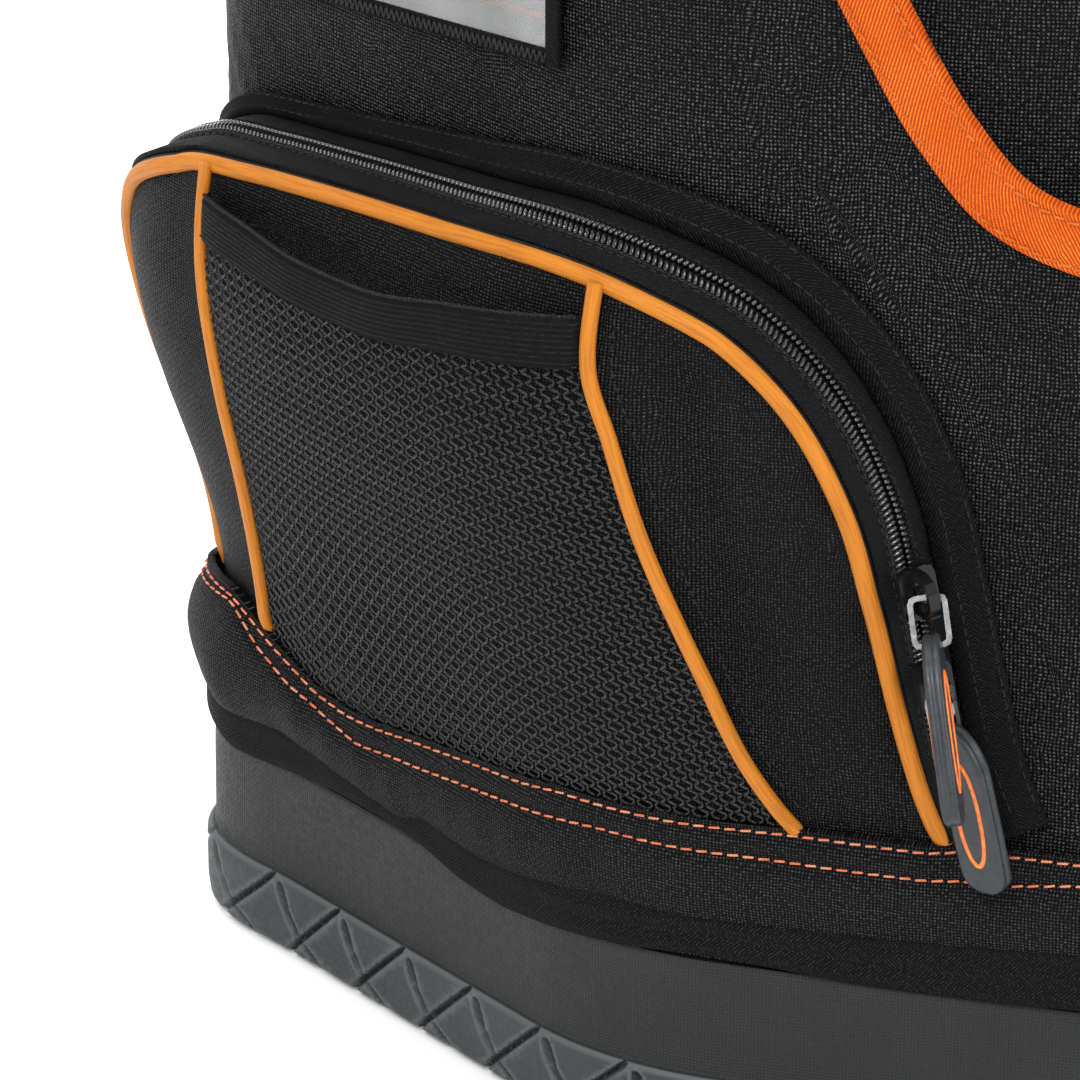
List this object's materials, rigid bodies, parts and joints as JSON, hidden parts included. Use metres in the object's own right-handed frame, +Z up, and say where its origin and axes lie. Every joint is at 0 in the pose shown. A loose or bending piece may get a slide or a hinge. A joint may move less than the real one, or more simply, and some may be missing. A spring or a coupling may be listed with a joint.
{
  "type": "tool backpack",
  "caption": "Tall tool backpack with a moulded rubber tray, zipped side pockets with net slips, a scooped front pocket, a card holder, shoulder straps and a top handle.",
  "frame": {"origin": "bottom centre of the whole backpack, on the floor it stands on", "axes": "+Z up; the front pocket faces -Y and the wearer's back is at +Y; the wearer's left, with the card holder, is at -X"},
  "size_m": [0.4094, 0.2992, 0.4907],
  "materials": {
    "tray_rubber": "matte, fine dotted grain",
    "body_cloth": "coarse black weave",
    "orange_trim": "satin orange twill",
    "woven_tape": "black herringbone tape",
    "net": "black net",
    "pad_cloth": "padded black cloth",
    "zip_coil": "shiny black coil",
    "slider_black": "gloss black",
    "link_steel": "bright wire",
    "moulded_grey": "satin dark grey",
    "card_clear": "soft clear sheet",
    "card_back": "grey backing"
  },
  "bodies": {
    "bag": {"base_tray": "tray_rubber", "main_body": "body_cloth", "tray_binding": "woven_tape", "lower_band": "body_cloth", "outer_panel": "body_cloth", "scoop_binding": "orange_trim", "pocket_panel_left": "body_cloth", "pocket_gusset_left": "woven_tape", "zip_chain_left": "zip_coil", "pocket_flange_left": "woven_tape", "piping_outer_left": "orange_trim", "piping_rear_left": "orange_trim", "piping_front_left": "orange_trim", "mesh_panel_left": "net", "mesh_hem_left": "woven_tape", "pocket_panel_right": "body_cloth", "pocket_gusset_right": "woven_tape", "zip_chain_right": "zip_coil", "pocket_flange_right": "woven_tape", "piping_outer_right": "orange_trim", "piping_rear_right": "orange_trim", "piping_front_right": "orange_trim", "mesh_panel_right": "net", "mesh_hem_right": "woven_tape", "slider_left_upper": "slider_black", "slider_left_lower": "slider_black", "slider_right_upper": "slider_black", "slider_right_lower": "slider_black", "card_backing": "card_back", "card_line": "orange_trim", "card_sheet": "card_clear", "card_hem": "woven_tape", "main_zip_tape": "woven_tape", "main_zip_chain": "zip_coil", "slider_main": "slider_black", "back_pad_left": "pad_cloth", "back_pad_right": "pad_cloth", "lumbar_pad": "pad_cloth", "strap_yoke": "woven_tape", "shoulder_strap_left": "pad_cloth", "ladder_lock_left": "moulded_grey", "strap_webbing_left": "woven_tape", "shoulder_strap_right": "pad_cloth", "ladder_lock_right": "moulded_grey", "strap_webbing_right": "woven_tape", "top_handle": "woven_tape"},
    "pull_left_upper": {"pull_link_left_upper": "link_steel", "zip_pull_left_upper": "moulded_grey"},
    "pull_left_lower": {"pull_link_left_lower": "link_steel", "zip_pull_left_lower": "moulded_grey"},
    "pull_right_upper": {"pull_link_right_upper": "link_steel", "zip_pull_right_upper": "moulded_grey"},
    "pull_right_lower": {"pull_link_right_lower": "link_steel", "zip_pull_right_lower": "moulded_grey"},
    "pull_main": {"pull_link_main": "link_steel", "zip_pull_main": "moulded_grey"}
  },
  "joints": [
    {"name": "pull_left_upper_hinge", "type": "hinge", "parent": "bag", "child": "pull_left_upper", "pos_m": [-0.14658, -0.1043, 0.1401], "axis": [-0.671, 0.7138, -0.2003], "range_deg": [0, 110]},
    {"name": "pull_left_lower_hinge", "type": "hinge", "parent": "bag", "child": "pull_left_lower", "pos_m": [-0.14464, -0.10638, 0.11949], "axis": [-0.9771, -0.15, -0.151], "range_deg": [0, 85]},
    {"name": "pull_right_upper_hinge", "type": "hinge", "parent": "bag", "child": "pull_right_upper", "pos_m": [0.14658, -0.1043, 0.1401], "axis": [-0.671, -0.7138, 0.2003], "range_deg": [0, 110]},
    {"name": "pull_right_lower_hinge", "type": "hinge", "parent": "bag", "child": "pull_right_lower", "pos_m": [0.14464, -0.10638, 0.11949], "axis": [-0.9771, 0.15, 0.151], "range_deg": [0, 85]},
    {"name": "pull_main_hinge", "type": "hinge", "parent": "bag", "child": "pull_main", "pos_m": [-0.008, -0.00006, 0.4571], "axis": [0, 1, 0], "range_deg": [0, 165]}
  ]
}
